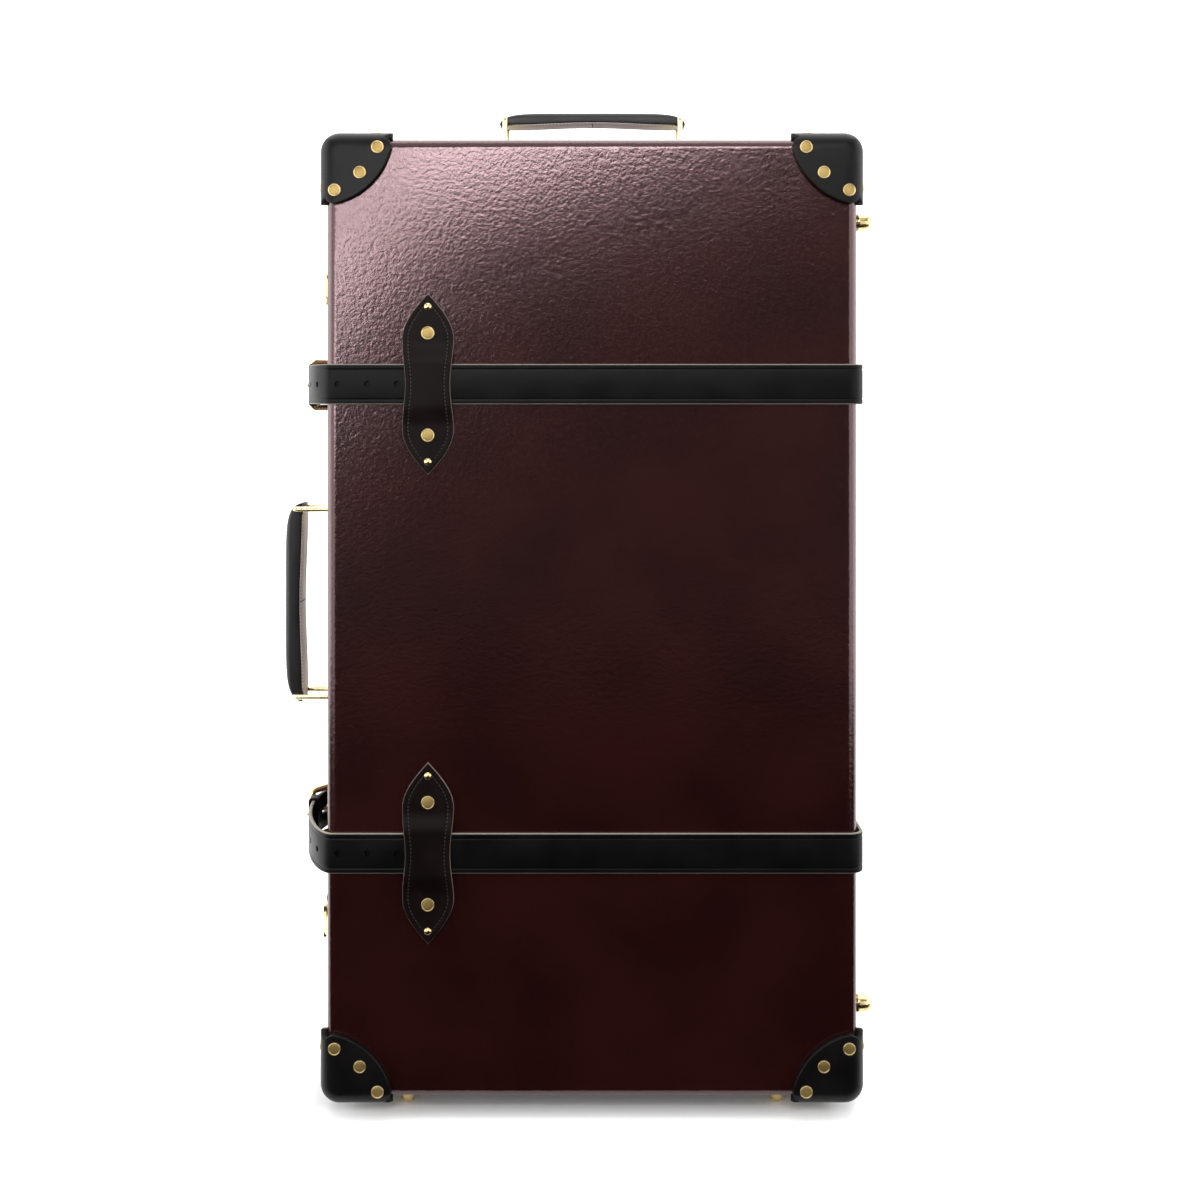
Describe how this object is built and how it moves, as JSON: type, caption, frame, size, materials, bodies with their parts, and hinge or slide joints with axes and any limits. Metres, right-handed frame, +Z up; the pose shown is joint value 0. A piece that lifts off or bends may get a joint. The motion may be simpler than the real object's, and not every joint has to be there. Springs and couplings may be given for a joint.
{
  "type": "wheeled suitcase",
  "caption": "Upright fibreboard suitcase with leather corners and straps, hinged lid, buckles, locks, sliding handles, domed feet and two wheels.",
  "frame": {"origin": "on the floor under the middle of the bounding box", "axes": "+Z up, -Y is the lid's front face, +X is the hinge side, -X is the side with the handle, buckles and locks"},
  "size_m": [0.4926, 0.2334, 0.8206],
  "materials": {
    "fibreboard": "satin lacquered, fine pebble",
    "black_leather": "semi-gloss hide",
    "polished_brass": "polished",
    "lining_cloth": "woven cotton",
    "moulded_black": "fine grain",
    "axle_steel": "turned",
    "tyre_rubber": "matt"
  },
  "bodies": {
    "base": {"base_shell": "fibreboard", "base_rim": "lining_cloth", "base_lining": "lining_cloth", "base_corner_upper_left": "black_leather", "base_corner_upper_right": "black_leather", "wheel_housing_left": "moulded_black", "wheel_housing_right": "moulded_black", "base_corner_rivets": "polished_brass", "back_loop_upper": "black_leather", "back_loop_lower": "black_leather", "back_loop_rivets": "polished_brass", "back_strap_upper": "black_leather", "back_strap_lower": "black_leather", "fixed_keeper_upper": "black_leather", "fixed_keeper_lower": "black_leather", "lock_case_upper": "polished_brass", "lock_case_lower": "polished_brass", "base_hinge_leaves": "polished_brass", "hinge_pins": "polished_brass", "side_handle_plates": "polished_brass", "top_handle_plates": "polished_brass", "wheel_axles": "axle_steel"},
    "lid": {"lid_shell": "fibreboard", "lid_lining": "lining_cloth", "lid_corner_upper_left": "black_leather", "lid_corner_upper_right": "black_leather", "lid_corner_lower_left": "black_leather", "lid_corner_lower_right": "black_leather", "lid_corner_rivets": "polished_brass", "front_loop_upper": "black_leather", "front_loop_lower": "black_leather", "front_loop_rivets": "polished_brass", "front_strap_upper": "black_leather", "front_strap_lower": "black_leather", "tongue_upper": "black_leather", "tongue_lower": "black_leather", "hinge_bend_upper": "black_leather", "hinge_bend_lower": "black_leather", "loose_keeper_upper": "black_leather", "loose_keeper_lower": "black_leather", "feet": "polished_brass", "lid_hinge_leaves": "polished_brass", "hasp_mounts": "polished_brass"},
    "buckle_upper": {"buckle_upper": "polished_brass"},
    "buckle_lower": {"buckle_lower": "polished_brass"},
    "prong_upper": {"prong_upper": "polished_brass"},
    "prong_lower": {"prong_lower": "polished_brass"},
    "hasp_upper": {"hasp_upper": "polished_brass"},
    "hasp_lower": {"hasp_lower": "polished_brass"},
    "lock_button_upper": {"lock_button_upper": "polished_brass"},
    "lock_button_lower": {"lock_button_lower": "polished_brass"},
    "side_handle": {"side_grip": "black_leather", "side_wire_loops": "polished_brass"},
    "top_handle": {"top_grip": "black_leather", "top_wire_loops": "polished_brass"},
    "wheel_left": {"wheel_left": "moulded_black", "tyre_left": "tyre_rubber"},
    "wheel_right": {"wheel_right": "moulded_black", "tyre_right": "tyre_rubber"}
  },
  "joints": [
    {"name": "lid_hinge", "type": "hinge", "parent": "base", "child": "lid", "pos_m": [0.23367, -0.0378, 0.398], "axis": [0, 0, 1], "range_deg": [0, 105], "deforming": ["tongue_upper", "tongue_lower", "hinge_bend_upper", "hinge_bend_lower"]},
    {"name": "buckle_turn_upper", "type": "hinge", "parent": "base", "child": "buckle_upper", "pos_m": [-0.20672, 0.026, 0.584], "axis": [0, 0, 1], "range_deg": [-42, 0]},
    {"name": "prong_turn_upper", "type": "hinge", "parent": "buckle_upper", "child": "prong_upper", "pos_m": [-0.20672, 0.026, 0.584], "axis": [0, 0, 1], "range_deg": [-42, 0]},
    {"name": "hasp_turn_upper", "type": "hinge", "parent": "lid", "child": "hasp_upper", "pos_m": [-0.19803, -0.052, 0.665], "axis": [0, 0, 1], "range_deg": [0, 110]},
    {"name": "lock_button_slide_upper", "type": "slide", "parent": "base", "child": "lock_button_upper", "axis": [0, 0, 1], "range_m": [0, 0.005], "stiffness_N_per_m": 200},
    {"name": "buckle_turn_lower", "type": "hinge", "parent": "base", "child": "buckle_lower", "pos_m": [-0.20672, 0.026, 0.212], "axis": [0, 0, 1], "range_deg": [-42, 0]},
    {"name": "prong_turn_lower", "type": "hinge", "parent": "buckle_lower", "child": "prong_lower", "pos_m": [-0.20672, 0.026, 0.212], "axis": [0, 0, 1], "range_deg": [-42, 0]},
    {"name": "hasp_turn_lower", "type": "hinge", "parent": "lid", "child": "hasp_lower", "pos_m": [-0.19803, -0.052, 0.131], "axis": [0, 0, 1], "range_deg": [0, 110]},
    {"name": "lock_button_slide_lower", "type": "slide", "parent": "base", "child": "lock_button_lower", "axis": [0, 0, 1], "range_m": [0, 0.005], "stiffness_N_per_m": 200},
    {"name": "side_handle_slide", "type": "slide", "parent": "base", "child": "side_handle", "axis": [-1, 0, 0], "range_m": [-0.019, 0]},
    {"name": "top_handle_slide", "type": "slide", "parent": "base", "child": "top_handle", "axis": [0, 0, 1], "range_m": [-0.009, 0.01]},
    {"name": "wheel_spin_left", "type": "hinge", "parent": "base", "child": "wheel_left", "pos_m": [-0.16673, 0.088, 0.025], "axis": [1, 0, 0], "continuous": true},
    {"name": "wheel_spin_right", "type": "hinge", "parent": "base", "child": "wheel_right", "pos_m": [0.20328, 0.088, 0.025], "axis": [1, 0, 0], "continuous": true}
  ]
}
